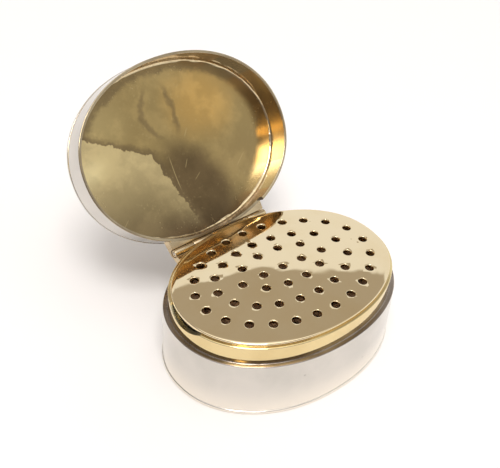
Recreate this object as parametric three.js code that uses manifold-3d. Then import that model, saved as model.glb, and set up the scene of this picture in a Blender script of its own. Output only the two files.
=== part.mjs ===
// A small oval vinaigrette, shown open: a plain silver box with a gilt bezel, a pierced gilt
// grille that lifts out, a sponge in the well below it and a lid on a five-knuckle hinge.
// Millimetres. +X runs along the oval, +Y points to the hinge and +Z is up. The origin is
// the middle of the underside.

import * as THREE from "three";
import { mergeVertices } from "three/addons/utils/BufferGeometryUtils.js";
import Module from "manifold-3d";

const wasm = await Module();
wasm.setup();

// Oval body
const BOX_LENGTH = 36;
const BOX_WIDTH = 27.2;
const OVAL_POWER = 2.1; // 2 is a true ellipse, more is squarer
const BODY_HEIGHT = 9; // underside to the ledge where the lid sits
const BASE_THICKNESS = 0.55;
const BASE_OVERHANG = 0.12;
const WALL_THICKNESS = 0.63;
const SOLDER_GAP = 0.06; // between nested bands

// Gilt bezel, which stands up inside the wall
const BEZEL_THICKNESS = 0.7;
const BEZEL_RISE = 2.7; // above the ledge
const NOTCH_LENGTH = 7.2;
const NOTCH_DEPTH = 1;
const NOTCH_OFFSET = 0.7; // towards the hinge side

// Pierced grille, which rests on the bezel with its skirt inside
const GRILLE_THICKNESS = 0.45;
const GRILLE_CROWN = 0.6; // rise of its middle over its edge
const GRILLE_INSET = 0.4; // bezel face to grille edge
const SKIRT_THICKNESS = 0.35;
const SKIRT_DEPTH = 1.5;
const SKIRT_CLEARANCE = 0.1;
const HOLE_DIAMETER = 1.2;

// Rings of holes, drawn in from the grille's ends and sides, set a little off its middle, and
// spaced by hand. The place of the first hole and the drift, which is how far the pitch strays
// from even, are shares of the way round a ring
const HOLE_RINGS = [
  {
    holes: 23, fromEnd: 2.91, fromSide: 2.9, middleX: 0.18, middleY: -0.03,
    turnDegrees: -2, first: 0.376, drift: 0.0044, driftDegrees: 110,
  },
  {
    holes: 17, fromEnd: 6.28, fromSide: 6.08, middleX: -0.01, middleY: 0.15,
    turnDegrees: -4.9, first: 0.373, drift: 0.0091, driftDegrees: 129,
  },
  {
    holes: 10, fromEnd: 9.91, fromSide: 8.99, middleX: 0.1, middleY: 0.5,
    turnDegrees: -3.7, first: 0.4, drift: 0.0092, driftDegrees: 40,
  },
];
const CENTRE_ROW = { holes: 3, spacing: 3.33, middleX: 0.02, middleY: 0.2, turnDegrees: -4 };

// Sponge in the well
const SPONGE_HEADROOM = 2.8; // sponge to the grille's skirt
const SPONGE_CLEARANCE = 0.3;
const SPONGE_CROWN = 0.5; // height and width of its rounded edges

// Lid
const LID_WALL_THICKNESS = 0.45;
const LID_PLATE_THICKNESS = 0.45;
const LID_PLATE_OVERHANG = 0.08;
const LID_HEADROOM = 0.1; // top of the grille's crown to the lid plate, closed
const LID_SEAM_GAP = 0.06;
const OPEN_DEGREES = 127.5;

// Hinge along the back
const HINGE_LENGTH = 17.4;
const KNUCKLE_COUNT = 5; // odd ones belong to the body, even ones to the lid
const KNUCKLE_RADIUS = 0.55;
const KNUCKLE_GAP = 0.08;
const PIN_RADIUS = 0.22;
const PIN_CLEARANCE = 0.05;
const BARREL_STANDOFF = 0.55; // bezel face to barrel
const BARREL_RISE = 0.35; // ledge to barrel
const BARREL_CLEARANCE = 0.1; // barrel to the channels it lies in
const LEAF_LIP = 0.4; // leaf metal behind the barrel
const LEAF_SLOPE = 0.27; // rise of the body leaf's underside for each step outwards
const STOP_DEGREES = 60; // where the leaves meet, below level behind the pin
const STOP_GAP_DEGREES = 1.2;
const LEAF_CLEARANCE = 0.12; // bezel to the body's leaf

// Facets
const OVAL_FACETS = 72;
const KNUCKLE_FACETS = 20;
const PIN_FACETS = 16;
const HOLE_FACETS = 10;
const NOTCH_FACETS = 96;
const CHANNEL_STEPS = 10;
const SPONGE_CROWN_STEPS = 2;
const WELD_DISTANCE = 0.0001;

// Places worked out from the sizes above
const degrees = THREE.MathUtils.degToRad;
const boxHalf = { x: BOX_LENGTH / 2, y: BOX_WIDTH / 2 };
const inset = (half, amount) => ({ x: half.x - amount, y: half.y - amount });
const wallInner = inset(boxHalf, WALL_THICKNESS);
const bezelOuter = inset(wallInner, SOLDER_GAP);
const bezelInner = inset(bezelOuter, BEZEL_THICKNESS);
const grilleHalf = inset(bezelOuter, GRILLE_INSET);
const skirtOuter = inset(bezelInner, SKIRT_CLEARANCE);
const skirtInner = inset(skirtOuter, SKIRT_THICKNESS);
const spongeHalf = inset(bezelInner, SPONGE_CLEARANCE);
const lidInner = inset(boxHalf, LID_WALL_THICKNESS);
const bezelTop = BODY_HEIGHT + BEZEL_RISE;
const lidRim = BODY_HEIGHT + LID_SEAM_GAP;
const lidCeiling = bezelTop + GRILLE_THICKNESS + GRILLE_CROWN + LID_HEADROOM;
const hingeY = bezelOuter.y + BARREL_STANDOFF + KNUCKLE_RADIUS;
const hingeZ = BODY_HEIGHT + BARREL_RISE + KNUCKLE_RADIUS;
const channelRadius = KNUCKLE_RADIUS + BARREL_CLEARANCE;
const lipRadius = channelRadius + LEAF_LIP;

// Finishes
const SILVER = { color: 0xd9d6d4, roughness: 0.16, metalness: 1 };
const GILT = { color: 0xc9ad6e, roughness: 0.14, metalness: 1 };
const STEEL = { color: 0x8c8a86, roughness: 0.35, metalness: 1 };
const SPONGE = { color: 0x5a3f28, roughness: 1, metalness: 0 };

function piece(name, geometry, finish) {
  const mesh = new THREE.Mesh(geometry, new THREE.MeshStandardMaterial(finish));
  mesh.name = name;
  return mesh;
}

// Point of the oval outline at an angle, with the corners' fullness set by OVAL_POWER
function ovalPoint(half, angle) {
  const fullness = 2 / OVAL_POWER;
  const cos = Math.cos(angle);
  const sin = Math.sin(angle);
  return new THREE.Vector2(
    half.x * Math.sign(cos) * Math.abs(cos) ** fullness,
    half.y * Math.sign(sin) * Math.abs(sin) ** fullness,
  );
}

function ovalPoints(half) {
  const points = [];
  for (let step = 0; step < OVAL_FACETS; step += 1) {
    points.push(ovalPoint(half, (2 * Math.PI * (step + 0.5)) / OVAL_FACETS));
  }
  return points;
}

function circlePoints(radius, facets) {
  const points = [];
  for (let step = 0; step < facets; step += 1) {
    const angle = (2 * Math.PI * step) / facets;
    points.push(new THREE.Vector2(radius * Math.cos(angle), radius * Math.sin(angle)));
  }
  return points;
}

// Flat plate or block: an outline, with any holes, raised from one height to another
function upright(outline, holes, bottom, top) {
  const shape = new THREE.Shape(outline);
  shape.holes = holes.map((hole) => new THREE.Path(hole));
  const geometry = new THREE.ExtrudeGeometry(shape, { depth: top - bottom, bevelEnabled: false });
  return geometry.translate(0, 0, bottom);
}

function band(outer, inner, bottom, top) {
  return upright(ovalPoints(outer), [ovalPoints(inner)], bottom, top);
}

// Bar along X whose section is drawn as (y, z) points about the hinge line
function hingeBar(section, holes, fromX, toX) {
  const shape = new THREE.Shape(section);
  shape.holes = holes.map((hole) => new THREE.Path(hole));
  const geometry = new THREE.ExtrudeGeometry(shape, { depth: toX - fromX, bevelEnabled: false });
  const drawnPlane = new THREE.Matrix4().makeBasis(
    new THREE.Vector3(0, 1, 0),
    new THREE.Vector3(0, 0, 1),
    new THREE.Vector3(1, 0, 0),
  );
  return geometry.applyMatrix4(drawnPlane).translate(fromX, hingeY, hingeZ);
}

function toSolid(geometry) {
  const bare = geometry.clone();
  bare.deleteAttribute("normal");
  bare.deleteAttribute("uv");
  const merged = mergeVertices(bare, WELD_DISTANCE);
  const mesh = new wasm.Mesh({
    numProp: 3,
    vertProperties: new Float32Array(merged.attributes.position.array),
    triVerts: new Uint32Array(merged.index.array),
  });
  return new wasm.Manifold(mesh);
}

function toGeometry(solid) {
  const mesh = solid.getMesh();
  const geometry = new THREE.BufferGeometry();
  geometry.setAttribute("position", new THREE.BufferAttribute(mesh.vertProperties, 3));
  geometry.setIndex(new THREE.BufferAttribute(mesh.triVerts, 1));
  geometry.computeVertexNormals();
  return geometry;
}

function cut(geometry, cutters) {
  const whole = toSolid(geometry);
  return toGeometry(cutters.reduce((solid, cutter) => solid.subtract(toSolid(cutter)), whole));
}

function basePlate() {
  const outline = ovalPoints(inset(boxHalf, -BASE_OVERHANG));
  return piece("base_plate", upright(outline, [], 0, BASE_THICKNESS), SILVER);
}

function bodyWall() {
  return piece("body_wall", band(boxHalf, wallInner, BASE_THICKNESS, BODY_HEIGHT), SILVER);
}

// The bezel's left end is scooped out for a fingernail under the grille
function bezel() {
  const whole = band(bezelOuter, bezelInner, BASE_THICKNESS, bezelTop);
  const scoopRadius = (NOTCH_LENGTH ** 2 / 4 + NOTCH_DEPTH ** 2) / (2 * NOTCH_DEPTH);
  const scoop = new THREE.CylinderGeometry(scoopRadius, scoopRadius, boxHalf.x, NOTCH_FACETS);
  scoop.rotateZ(Math.PI / 2).translate(-boxHalf.x, NOTCH_OFFSET, bezelTop - NOTCH_DEPTH + scoopRadius);
  return piece("bezel", cut(whole, [scoop]), GILT);
}

function sponge() {
  const height = bezelTop - SKIRT_DEPTH - SPONGE_HEADROOM - BASE_THICKNESS;
  const body = new THREE.ExtrudeGeometry(new THREE.Shape(ovalPoints(inset(spongeHalf, SPONGE_CROWN))), {
    depth: height - 2 * SPONGE_CROWN,
    bevelSize: SPONGE_CROWN,
    bevelThickness: SPONGE_CROWN,
    bevelSegments: SPONGE_CROWN_STEPS,
  });
  return piece("sponge", body.translate(0, 0, BASE_THICKNESS + SPONGE_CROWN), SPONGE);
}

// Hole centres: three rings at a nearly even pitch, and a row in the middle
function holeCentres() {
  const centres = [];
  for (const ring of HOLE_RINGS) {
    const half = { x: grilleHalf.x - ring.fromEnd, y: grilleHalf.y - ring.fromSide };
    const path = new THREE.EllipseCurve(
      ring.middleX, ring.middleY, half.x, half.y, 0, 2 * Math.PI, false, degrees(ring.turnDegrees),
    );
    for (let hole = 0; hole < ring.holes; hole += 1) {
      const even = hole / ring.holes;
      const wave = Math.sin(2 * Math.PI * even + degrees(ring.driftDegrees));
      centres.push(path.getPointAt((ring.first + even + ring.drift * wave) % 1));
    }
  }
  const rowTurn = degrees(CENTRE_ROW.turnDegrees);
  for (let hole = 0; hole < CENTRE_ROW.holes; hole += 1) {
    const along = (hole - (CENTRE_ROW.holes - 1) / 2) * CENTRE_ROW.spacing;
    centres.push(new THREE.Vector2(
      CENTRE_ROW.middleX + along * Math.cos(rowTurn),
      CENTRE_ROW.middleY + along * Math.sin(rowTurn),
    ));
  }
  return centres;
}

// Raises the middle of a plate that lies on the bezel, and leaves its edge where it is
function crowned(geometry) {
  const places = geometry.attributes.position;
  for (let index = 0; index < places.count; index += 1) {
    const along = places.getX(index) / grilleHalf.x;
    const across = places.getY(index) / grilleHalf.y;
    const rise = GRILLE_CROWN * Math.max(1 - along ** 2 - across ** 2, 0);
    places.setZ(index, places.getZ(index) + rise);
  }
  return geometry;
}

function grillePlate() {
  const rim = circlePoints(HOLE_DIAMETER / 2, HOLE_FACETS);
  const holes = holeCentres().map((centre) => rim.map((point) => point.clone().add(centre)));
  const plate = upright(ovalPoints(grilleHalf), holes, bezelTop, bezelTop + GRILLE_THICKNESS);
  return piece("grille_plate", crowned(plate), GILT);
}

function grilleSkirt() {
  return piece("grille_skirt", band(skirtOuter, skirtInner, bezelTop - SKIRT_DEPTH, bezelTop), GILT);
}

function hingePoint(radius, angleDegrees) {
  const angle = degrees(angleDegrees);
  return new THREE.Vector2(radius * Math.cos(angle), radius * Math.sin(angle));
}

// Curve of the channel that the barrel lies in, from one angle to another
function channel(fromDegrees, toDegrees) {
  const points = [];
  for (let step = 0; step <= CHANNEL_STEPS; step += 1) {
    const share = step / CHANNEL_STEPS;
    points.push(hingePoint(channelRadius, fromDegrees + (toDegrees - fromDegrees) * share));
  }
  return points;
}

// Room round the wall and the bezel that the leaves are fitted to
function wallRoom(top) {
  return upright(ovalPoints(inset(boxHalf, -SOLDER_GAP)), [], 0, top);
}

function bezelRoom() {
  return upright(ovalPoints(inset(bezelOuter, -LEAF_CLEARANCE)), [], 0, bezelTop);
}

// Wedge of metal under the barrel, from the curved wall out to the straight hinge
function bodyLeaf() {
  const seam = -LID_SEAM_GAP / 2;
  const inwards = -boxHalf.y / 2;
  const lip = hingePoint(lipRadius, -STOP_DEGREES);
  const seamDegrees = 180 + THREE.MathUtils.radToDeg(Math.asin(-seam / channelRadius));
  const section = [
    new THREE.Vector2(inwards, seam),
    ...channel(seamDegrees, 360 - STOP_DEGREES),
    lip,
    new THREE.Vector2(inwards, lip.y - LEAF_SLOPE * (lip.x - inwards)),
  ];
  const bar = hingeBar(section, [], -HINGE_LENGTH / 2, HINGE_LENGTH / 2);
  return piece("body_hinge_leaf", cut(bar, [wallRoom(BODY_HEIGHT + SOLDER_GAP), bezelRoom()]), SILVER);
}

// Matching wedge on the lid, drawn closed, whose end meets the body's leaf when the lid is open
function lidLeaf() {
  const seam = LID_SEAM_GAP / 2;
  const inwards = -boxHalf.y / 2;
  const stopDegrees = OPEN_DEGREES - STOP_DEGREES + STOP_GAP_DEGREES;
  const lip = hingePoint(lipRadius, stopDegrees);
  const top = lidCeiling - SOLDER_GAP - hingeZ;
  const seamDegrees = 180 - THREE.MathUtils.radToDeg(Math.asin(seam / channelRadius));
  const section = [
    new THREE.Vector2(inwards, top),
    lip,
    ...channel(stopDegrees, seamDegrees),
    new THREE.Vector2(inwards, seam),
  ];
  const bar = hingeBar(section, [], -HINGE_LENGTH / 2, HINGE_LENGTH / 2);
  return piece("lid_hinge_leaf", cut(bar, [wallRoom(lidCeiling)]), SILVER);
}

// Tube lengths in turn along the hinge: odd ones for the body, even ones for the lid
function knuckles(firstIndex, namePrefix) {
  const pitch = HINGE_LENGTH / KNUCKLE_COUNT;
  const outline = circlePoints(KNUCKLE_RADIUS, KNUCKLE_FACETS);
  const bore = circlePoints((PIN_RADIUS + PIN_CLEARANCE) / Math.cos(Math.PI / PIN_FACETS), PIN_FACETS);
  const tubes = [];
  for (let index = firstIndex; index < KNUCKLE_COUNT; index += 2) {
    const start = -HINGE_LENGTH / 2 + index * pitch;
    const tube = hingeBar(outline, [bore], start + KNUCKLE_GAP / 2, start + pitch - KNUCKLE_GAP / 2);
    tubes.push(piece(`${namePrefix}_${tubes.length + 1}`, tube, SILVER));
  }
  return tubes;
}

function hingePin() {
  const half = HINGE_LENGTH / 2 - KNUCKLE_GAP / 2;
  const pin = hingeBar(circlePoints(PIN_RADIUS, PIN_FACETS), [], -half, half);
  return piece("hinge_pin", pin, STEEL);
}

function lidPlate() {
  const outline = ovalPoints(inset(boxHalf, -LID_PLATE_OVERHANG));
  const plate = upright(outline, [], lidCeiling, lidCeiling + LID_PLATE_THICKNESS);
  return piece("lid_plate", plate, SILVER);
}

// The wall is cut away at the back, where the body's leaf and the barrel stand
function lidWall() {
  const slotSide = HINGE_LENGTH / 2 + BARREL_CLEARANCE;
  const slotTop = hingeZ + LID_SEAM_GAP / 2;
  const slotDepth = boxHalf.y / 2;
  const slot = new THREE.BoxGeometry(2 * slotSide, slotDepth, slotTop);
  slot.translate(0, boxHalf.y, slotTop / 2);
  const barrelRoom = hingeBar(circlePoints(channelRadius, KNUCKLE_FACETS), [], -slotSide, slotSide);
  const whole = band(boxHalf, lidInner, lidRim, lidCeiling);
  return piece("lid_wall", cut(whole, [slot, barrelRoom]), SILVER);
}

// Everything that turns with the lid is drawn closed, then turned open about the hinge line
function lid() {
  const turning = new THREE.Group();
  turning.position.set(0, hingeY, hingeZ);
  turning.rotation.x = -degrees(OPEN_DEGREES);
  const parts = [lidPlate(), lidWall(), lidLeaf(), ...knuckles(1, "lid_knuckle")];
  for (const part of parts) {
    part.position.set(0, -hingeY, -hingeZ);
    turning.add(part);
  }
  return turning;
}

const vinaigrette = new THREE.Group();
vinaigrette.name = "vinaigrette";
vinaigrette.add(
  basePlate(),
  bodyWall(),
  bezel(),
  sponge(),
  grillePlate(),
  grilleSkirt(),
  bodyLeaf(),
  ...knuckles(0, "body_knuckle"),
  hingePin(),
  lid(),
);

export default vinaigrette;
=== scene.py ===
"""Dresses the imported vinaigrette: a small oval silver box with a gilt bezel, a pierced gilt
grille over a sponge, and a lid standing open on a five-knuckle hinge.

Sizes are in millimetres and become metres where a mesh is made. +X runs along the oval, +Y
points to the hinge and +Z is up. The lid is modelled closed and then turned open.
"""

import logging
import math
from bisect import bisect
from collections.abc import Callable, Iterator
from contextlib import contextmanager
from dataclasses import dataclass, field
from enum import Enum
from itertools import pairwise

import bpy
from bpy.types import Material, Node, NodeSocket, NodeTree, Object
from mathutils import Euler, Matrix, Vector, noise


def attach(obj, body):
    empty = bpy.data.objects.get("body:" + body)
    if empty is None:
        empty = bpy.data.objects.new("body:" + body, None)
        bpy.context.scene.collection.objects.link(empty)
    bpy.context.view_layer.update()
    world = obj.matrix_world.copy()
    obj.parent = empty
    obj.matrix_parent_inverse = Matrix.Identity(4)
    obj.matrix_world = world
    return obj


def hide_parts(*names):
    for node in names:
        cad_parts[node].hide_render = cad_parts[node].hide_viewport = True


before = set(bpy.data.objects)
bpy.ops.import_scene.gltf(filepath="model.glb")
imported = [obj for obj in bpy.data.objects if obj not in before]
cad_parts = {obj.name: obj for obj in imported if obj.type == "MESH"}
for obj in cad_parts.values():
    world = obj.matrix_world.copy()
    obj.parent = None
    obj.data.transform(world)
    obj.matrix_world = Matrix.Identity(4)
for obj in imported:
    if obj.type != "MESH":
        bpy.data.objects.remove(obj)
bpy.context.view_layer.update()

log = logging.getLogger("vinaigrette")

MM = 0.001
OVAL_POWER = 2.1
OVAL_SIDES = 192
WELD = 0.000001
SMOOTH_ANGLE = math.radians(32)
SOLDER_ANGLE = math.radians(60)
NORMAL_WEIGHT = 80
SEED_SHIFT = (1.0, 1.7, 2.3)

Rgba = tuple[float, float, float, float]


class Body(Enum):
    """The CAD bodies that pieces ride on."""

    BOX = "body"
    LID = "lid"
    GRILLE = "grille"


class Slot(Enum):
    """The record's material slots."""

    SILVER = "silver"
    PARCEL_GILT = "parcel_gilt"
    GILT = "gilt"
    PIN = "pin_steel"
    SPONGE = "sponge"


@dataclass(frozen=True)
class Oval:
    """An oval outline round the vertical axis, by its half sizes."""

    half_x: float
    half_y: float

    def inset(self, amount: float) -> "Oval":
        """The oval drawn in by the same amount all round."""
        return Oval(self.half_x - amount, self.half_y - amount)

    def scaled(self, share: float) -> "Oval":
        """The oval at a share of its size."""
        return Oval(self.half_x * share, self.half_y * share)

    def reach(self, x: float, y: float) -> float:
        """How far out a point lies: 0 in the middle and 1 on the outline."""
        return math.hypot(x / self.half_x, y / self.half_y)

    def point(self, angle: float) -> tuple[float, float]:
        """Finds the outline's point at an angle.

        Args:
            angle: The angle round the axis.

        Returns:
            The point as x and y.
        """
        fullness = 2 / OVAL_POWER
        cos, sin = math.cos(angle), math.sin(angle)
        x = self.half_x * math.copysign(abs(cos) ** fullness, cos)
        y = self.half_y * math.copysign(abs(sin) ** fullness, sin)
        return x, y


Rings = list[tuple[Oval, float]]


@dataclass(frozen=True)
class Corner:
    """A corner of a section: how far in from an oval, how high, and how round."""

    inset: float
    height: float
    radius: float = 0.0

    @property
    def place(self) -> Vector:
        """The corner before it is rounded."""
        return Vector((self.inset, self.height))


def colour(red: float, green: float, blue: float) -> Rgba:
    """An opaque colour."""
    return red, green, blue, 1.0


def spread(start: float, end: float, steps: int) -> list[float]:
    """Even steps from one value to another, with both."""
    return [start + (end - start) * step / steps for step in range(steps + 1)]


def deselect_all() -> None:
    """Leaves object mode with nothing selected."""
    if bpy.context.object and bpy.context.object.mode != "OBJECT":
        bpy.ops.object.mode_set(mode="OBJECT")
    bpy.ops.object.select_all(action="DESELECT")


def pick(piece: Object) -> None:
    """Makes a piece the only one selected, and the active one.

    Args:
        piece: The piece to select.
    """
    deselect_all()
    piece.select_set(True)
    bpy.context.view_layer.objects.active = piece


@contextmanager
def editing(piece: Object, mode: str = "VERT") -> Iterator[None]:
    """Edits a piece's mesh with everything selected.

    Args:
        piece: The piece to edit.
        mode: The kind of element that is selected.

    Returns:
        A context in which the piece is in edit mode.
    """
    pick(piece)
    bpy.ops.object.mode_set(mode="EDIT")
    bpy.ops.mesh.select_mode(type=mode)
    bpy.ops.mesh.select_all(action="SELECT")
    yield
    bpy.ops.object.mode_set(mode="OBJECT")


def take_name(name: str) -> Object:
    """Names the primitive that was just added, and its mesh.

    Args:
        name: The new name.

    Returns:
        The primitive.
    """
    piece = bpy.context.object
    piece.name = name
    piece.data.name = name
    return piece


def add_circle(name: str, sides: int, fill: str, radius: float = 1.0) -> Object:
    """Adds a circle on the vertical axis.

    Args:
        name: The new piece's name.
        sides: How many points it has.
        fill: How it is filled, as Blender names it.
        radius: Its radius in metres.

    Returns:
        The new piece.
    """
    deselect_all()
    bpy.ops.mesh.primitive_circle_add(vertices=sides, radius=radius, fill_type=fill)
    return take_name(name)


def duplicate(piece: Object) -> Object:
    """Copies a piece and its mesh.

    Args:
        piece: The piece to copy.

    Returns:
        The copy, in the scene.
    """
    copy = piece.copy()
    copy.data = piece.data.copy()
    bpy.context.collection.objects.link(copy)
    return copy


def apply_modifier(piece: Object, kind: str, **settings: object) -> None:
    """Adds a modifier to a piece and applies it.

    Args:
        piece: The piece to finish.
        kind: The modifier's type.
        settings: The modifier's values by name.
    """
    pick(piece)
    modifier = piece.modifiers.new(kind.title(), kind)
    for key, value in settings.items():
        setattr(modifier, key, value)
    bpy.ops.object.modifier_apply(modifier=modifier.name)


def cut(piece: Object, cutter: Object) -> None:
    """Cuts a closed shape out of a piece, and removes the cutter."""
    apply_modifier(piece, "BOOLEAN", operation="DIFFERENCE", solver="EXACT", object=cutter)
    bpy.data.objects.remove(cutter)


def weld(piece: Object) -> None:
    """Merges doubles, drops loose bits and turns the faces outwards.

    Args:
        piece: The piece to clean.
    """
    with editing(piece):
        bpy.ops.mesh.remove_doubles(threshold=WELD)
        bpy.ops.mesh.delete_loose()
        bpy.ops.mesh.select_all(action="SELECT")
        bpy.ops.mesh.normals_make_consistent(inside=False)


def smooth(piece: Object, angle: float = SMOOTH_ANGLE) -> None:
    """Shades a piece smooth up to an angle, and lets the large faces set the normals.

    Args:
        piece: The piece to shade.
        angle: The angle above which an edge stays sharp.
    """
    pick(piece)
    bpy.ops.object.shade_smooth_by_angle(angle=angle)
    apply_modifier(piece, "WEIGHTED_NORMAL", weight=NORMAL_WEIGHT, keep_sharp=True)


def settle(piece: Object) -> None:
    """Moves a piece's place into its mesh, so that the object sits at the origin."""
    pick(piece)
    bpy.ops.object.transform_apply(location=True, rotation=True, scale=True)


def paint_faces(piece: Object, rule: Callable[[Vector, Vector], int]) -> None:
    """Gives each face the material slot that a rule finds from its middle and normal."""
    for face in piece.data.polygons:
        face.material_index = int(rule(face.center / MM, face.normal))


@dataclass(frozen=True)
class Hammering:
    """The slight unevenness of hammered and polished sheet.

    The depth is the most that a point moves, the span is the width of a hollow, and the seed
    moves the pattern so that no two pieces share it.
    """

    depth: float
    span: float
    seed: float

    def work(self, piece: Object) -> None:
        """Moves a piece's points along their normals.

        Args:
            piece: The piece to work.
        """
        shift = Vector([self.seed * share for share in SEED_SHIFT])
        moves = []
        for vertex in piece.data.vertices:
            swell = noise.noise(vertex.co / (self.span * MM) + shift)
            moves.append(vertex.normal * (swell * self.depth * MM))
        for vertex, move in zip(piece.data.vertices, moves):
            vertex.co += move


def round_section(corners: list[Corner], steps: int = 4) -> list[tuple[float, float]]:
    """Rounds the corners of a closed section.

    Args:
        corners: The corners in turn, each with its own radius.
        steps: How many steps each rounding takes.

    Returns:
        Points as inset and height.
    """
    points = []
    for index, corner in enumerate(corners):
        here = corner.place
        if corner.radius == 0:
            points.append(tuple(here))
            continue
        back = (corners[index - 1].place - here).normalized()
        onward = (corners[(index + 1) % len(corners)].place - here).normalized()
        half_angle = back.angle(onward) / 2
        centre = here + (back + onward).normalized() * (corner.radius / math.sin(half_angle))
        reach = corner.radius / math.tan(half_angle)
        start = here + back * reach - centre
        end = here + onward * reach - centre
        for turn in spread(0.0, -start.angle_signed(end), steps):
            points.append(tuple(centre + Matrix.Rotation(turn, 2) @ start))
    return points


def draw_loop(name: str, oval: Oval, height: float) -> Object:
    """Draws one closed loop of edges on an oval.

    Args:
        name: The new piece's name.
        oval: The outline.
        height: The loop's height.

    Returns:
        The new piece.
    """
    piece = add_circle(name, OVAL_SIDES, "NOTHING")
    for index, vertex in enumerate(piece.data.vertices):
        x, y = oval.point(2 * math.pi * (index + 0.5) / OVAL_SIDES)
        vertex.co = Vector((x, y, height)) * MM
    return piece


def raise_ovals(name: str, rings: Rings, hollow: bool) -> Object:
    """Raises a form from a loop through a run of ovals, and closes it.

    Args:
        name: The new piece's name.
        rings: The ovals in turn, each with its height.
        hollow: Whether the last oval joins the first, as in a band. Otherwise both ends are filled.

    Returns:
        The new piece.
    """
    piece = draw_loop(name, *rings[0])
    with editing(piece, "EDGE"):
        for (last, last_height), (oval, height) in pairwise(rings):
            rise = (0, 0, (height - last_height) * MM)
            growth = (oval.half_x / last.half_x, oval.half_y / last.half_y, 1)
            bpy.ops.mesh.extrude_edges_move(TRANSFORM_OT_translate={"value": rise})
            bpy.ops.transform.resize(value=growth, center_override=(0, 0, 0))
        bpy.ops.mesh.select_all(action="DESELECT")
        bpy.ops.mesh.select_non_manifold()
        if hollow:
            bpy.ops.mesh.bridge_edge_loops()
        else:
            bpy.ops.mesh.select_all(action="SELECT")
            bpy.ops.mesh.fill_holes(sides=0)
    weld(piece)
    return piece


def band_corners(
    start: float, end: float, low: float, high: float, low_radius: float, high_radius: float = 0.0,
) -> list[Corner]:
    """The corners of a four-sided section whose two low ones are alike, and its two high ones."""
    return [
        Corner(start, low, low_radius), Corner(start, high, high_radius),
        Corner(end, high, high_radius), Corner(end, low, low_radius),
    ]


def sheet_corners(
    margin: float, bottom: float, top: float, low_radius: float, high_radius: float,
) -> list[Corner]:
    """The corners of a flat sheet's edge, from its underside to its top."""
    return [
        Corner(margin, bottom), Corner(0.0, bottom, low_radius),
        Corner(0.0, top, high_radius), Corner(margin, top),
    ]


def edge_rings(outline: Oval, corners: list[Corner], steps: int = 4) -> Rings:
    """The rings of a rounded section that is drawn in from an oval."""
    return [(outline.inset(inset), height) for inset, height in round_section(corners, steps)]


def raise_band(name: str, outline: Oval, corners: list[Corner]) -> Object:
    """Raises a closed band whose section is drawn in from an oval."""
    return raise_ovals(name, edge_rings(outline, corners), hollow=True)


def raise_solder(name: str, rings: Rings, hammering: Hammering) -> Object:
    """Raises an uneven run of solder.

    Args:
        name: The new piece's name.
        rings: Its section in turn.
        hammering: Its unevenness.

    Returns:
        The new piece.
    """
    piece = raise_ovals(name, rings, hollow=True)
    hammering.work(piece)
    smooth(piece, SOLDER_ANGLE)
    return piece


def solder_face(wall: Oval, level: float, radius: float, side: int, steps: int) -> Rings:
    """The hollow face of a run of solder, from a sheet to the wall that stands on it.

    Args:
        wall: The wall's face.
        level: The sheet's height.
        radius: The hollow's radius.
        side: 1 for a run inside the wall and under the sheet, -1 for one outside and on top.
        steps: How many steps the hollow takes.

    Returns:
        The rings of the face.
    """
    rings = []
    for angle in spread(0.0, math.pi / 2, steps):
        out = side * radius * (1 - math.sin(angle))
        rings.append((wall.inset(out), level - side * radius * (1 - math.cos(angle))))
    return rings


@dataclass(frozen=True)
class SheetEdge:
    """How a flat sheet is divided: its edge's roundings, and rings inside them.

    The edge begins at the margin. The rings lie at even shares of the outline, and only the
    inner ones are kept.
    """

    low_radius: float
    high_radius: float
    margin: float
    shares: int
    kept: int

    def rings(self, outline: Oval, bottom: float, top: float) -> Rings:
        """Runs from the middle of the underside round the edge to the middle of the top.

        Args:
            outline: The sheet's outline.
            bottom: The height of its underside.
            top: The height of its top.

        Returns:
            The rings in turn.
        """
        corners = sheet_corners(self.margin, bottom, top, self.low_radius, self.high_radius)
        steps = range(1, self.kept + 1)
        rings = [(outline.scaled(step / self.shares), bottom) for step in steps]
        rings += edge_rings(outline, corners)
        rings += [(outline.scaled(step / self.shares), top) for step in reversed(steps)]
        return rings


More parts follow.
